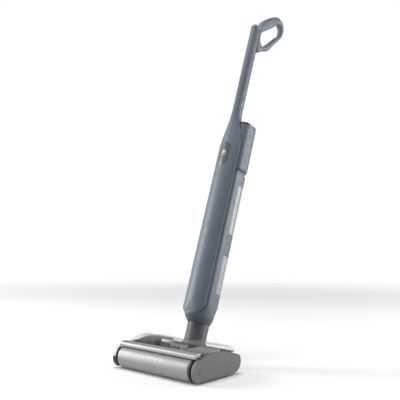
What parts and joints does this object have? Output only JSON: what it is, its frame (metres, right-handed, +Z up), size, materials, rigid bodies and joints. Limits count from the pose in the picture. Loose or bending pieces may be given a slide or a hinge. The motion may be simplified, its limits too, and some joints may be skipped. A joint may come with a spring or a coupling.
{
  "type": "wet and dry floor washer",
  "caption": "Cordless upright wet and dry floor washer: roller head under a clear cover, tilting neck, body with two water tanks, motor housing and loop handle.",
  "frame": {"origin": "on the floor, mid-width, at the middle of the squeegee's floor land", "axes": "+X towards the removable roller cap, -Y towards the front where the roller is, +Z up"},
  "size_m": [0.2963, 0.6008, 1.0872],
  "materials": {
    "shell_blue": "fine satin",
    "shell_blue_dark": "fine satin",
    "neck_grey": "fine satin",
    "head_grey": "fine matt",
    "cap_grey": "smooth satin",
    "black_plastic": "smooth",
    "gloss_black": "polished",
    "clear_plastic": "clear, polished",
    "silver_trim": "silver paint on plastic",
    "steel": "brushed",
    "motor_metal": "drawn can",
    "cells": "wrapped cells",
    "rubber_black": "smooth",
    "pile": "short dense pile",
    "filter_white": "pleated",
    "board_green": "resist",
    "contact_gold": "plated",
    "button_white": "smooth"
  },
  "bodies": {
    "head": {"head_chassis": "head_grey", "head_deck": "head_grey", "base_plate": "steel", "base_screws": "steel", "front_strip": "silver_trim", "spray_bar": "black_plastic", "scraper": "rubber_black", "squeegee": "rubber_black", "suction_duct": "head_grey", "motor_cover": "head_grey", "deck_ribs": "silver_trim", "roller_motor": "steel", "drive_belt": "rubber_black", "left_cap_lower": "black_plastic", "left_cap_upper": "clear_plastic", "wheel_axles": "steel", "charging_contacts": "contact_gold"},
    "roller_cap": {"side_cap": "cap_grey", "side_bearing": "steel"},
    "cap_button": {"release_button": "cap_grey"},
    "roller": {"roller_core": "steel", "roller_sleeve": "pile", "roller_ring": "black_plastic", "roller_hub": "black_plastic", "roller_stub": "steel"},
    "pulley": {"drive_pulley": "black_plastic"},
    "motor_rotor": {"rotor": "black_plastic"},
    "wheel_left": {"rear_wheel_left": "rubber_black"},
    "wheel_right": {"rear_wheel_right": "rubber_black"},
    "cover": {"head_cover": "clear_plastic", "cover_latches": "black_plastic"},
    "yoke": {"yoke": "neck_grey", "tilt_pins": "steel", "neck_collar": "neck_grey", "suction_hose": "rubber_black"},
    "upright": {"neck_tube": "neck_grey", "tank_housing": "shell_blue", "front_cover": "shell_blue", "display_window": "gloss_black", "display_board": "board_green", "motor_housing": "shell_blue", "exhaust_rim": "black_plastic", "stick_back": "shell_blue_dark", "spine": "steel", "handle_loop": "shell_blue", "suction_motor": "motor_metal", "exhaust_filter": "filter_white", "battery_pack": "cells", "main_board": "board_green", "water_pump": "black_plastic"},
    "suction_fan": {"impeller": "black_plastic"},
    "clean_tank": {"clean_tank": "clear_plastic", "clean_lid": "shell_blue_dark"},
    "dirty_tank": {"dirty_tank": "clear_plastic", "dirty_lid": "shell_blue_dark", "float_valve": "black_plastic"},
    "tank_tab": {"release_tab": "shell_blue_dark"},
    "power_button": {"power_button": "button_white"},
    "mode_button": {"mode_button": "button_white"},
    "clean_button": {"clean_button": "button_white"}
  },
  "joints": [
    {"name": "roller_cap_pull", "type": "slide", "parent": "head", "child": "roller_cap", "axis": [1, 0, 0], "range_m": [0, 0.28]},
    {"name": "cap_button_press", "type": "slide", "parent": "roller_cap", "child": "cap_button", "axis": [-1, 0, 0], "range_m": [0, 0.0015], "stiffness_N_per_m": 900},
    {"name": "roller_spin", "type": "hinge", "parent": "roller_cap", "child": "roller", "pos_m": [0, -0.046, 0.0295], "axis": [1, 0, 0], "continuous": true},
    {"name": "pulley_spin", "type": "hinge", "parent": "head", "child": "pulley", "pos_m": [0, -0.046, 0.0295], "axis": [1, 0, 0], "continuous": true},
    {"name": "motor_spin", "type": "hinge", "parent": "head", "child": "motor_rotor", "pos_m": [0, 0.028, 0.037], "axis": [1, 0, 0], "continuous": true},
    {"name": "wheel_left_spin", "type": "hinge", "parent": "head", "child": "wheel_left", "pos_m": [0, 0.091, 0.012], "axis": [1, 0, 0], "continuous": true},
    {"name": "wheel_right_spin", "type": "hinge", "parent": "head", "child": "wheel_right", "pos_m": [0, 0.091, 0.012], "axis": [1, 0, 0], "continuous": true},
    {"name": "cover_lift", "type": "slide", "parent": "head", "child": "cover", "axis": [0, 0, 1], "range_m": [0, 0.03]},
    {"name": "tilt", "type": "hinge", "parent": "head", "child": "yoke", "pos_m": [0, 0.082, 0.046], "axis": [-1, 0, 0], "range_deg": [-19, 56]},
    {"name": "swivel", "type": "hinge", "parent": "yoke", "child": "upright", "pos_m": [0, 0.082, 0.046], "axis": [0, 0.3256, 0.9455], "range_deg": [-60, 60]},
    {"name": "fan_spin", "type": "hinge", "parent": "upright", "child": "suction_fan", "pos_m": [0, 0.26159, 0.55528], "axis": [0, 0.3256, 0.9455], "continuous": true},
    {"name": "clean_tank_pull", "type": "slide", "parent": "upright", "child": "clean_tank", "axis": [0, 0.9455, -0.3256], "range_m": [0, 0.07]},
    {"name": "dirty_tank_pull", "type": "slide", "parent": "upright", "child": "dirty_tank", "axis": [0, 0.9455, -0.3256], "range_m": [0, 0.07]},
    {"name": "tank_tab_press", "type": "slide", "parent": "dirty_tank", "child": "tank_tab", "axis": [0, -0.9455, 0.3256], "range_m": [0, 0.0015], "stiffness_N_per_m": 900},
    {"name": "power_press", "type": "slide", "parent": "upright", "child": "power_button", "axis": [0, 0.4513, -0.8923], "range_m": [0, 0.0015], "stiffness_N_per_m": 900},
    {"name": "mode_press", "type": "slide", "parent": "upright", "child": "mode_button", "axis": [0, 0.4513, -0.8923], "range_m": [0, 0.0015], "stiffness_N_per_m": 900},
    {"name": "clean_press", "type": "slide", "parent": "upright", "child": "clean_button", "axis": [0, 0.4513, -0.8923], "range_m": [0, 0.0015], "stiffness_N_per_m": 900}
  ],
  "couplings": [
    {"joint": "pulley_spin", "follows": "roller_spin", "ratio": 1},
    {"joint": "motor_spin", "follows": "roller_spin", "ratio": 1}
  ]
}
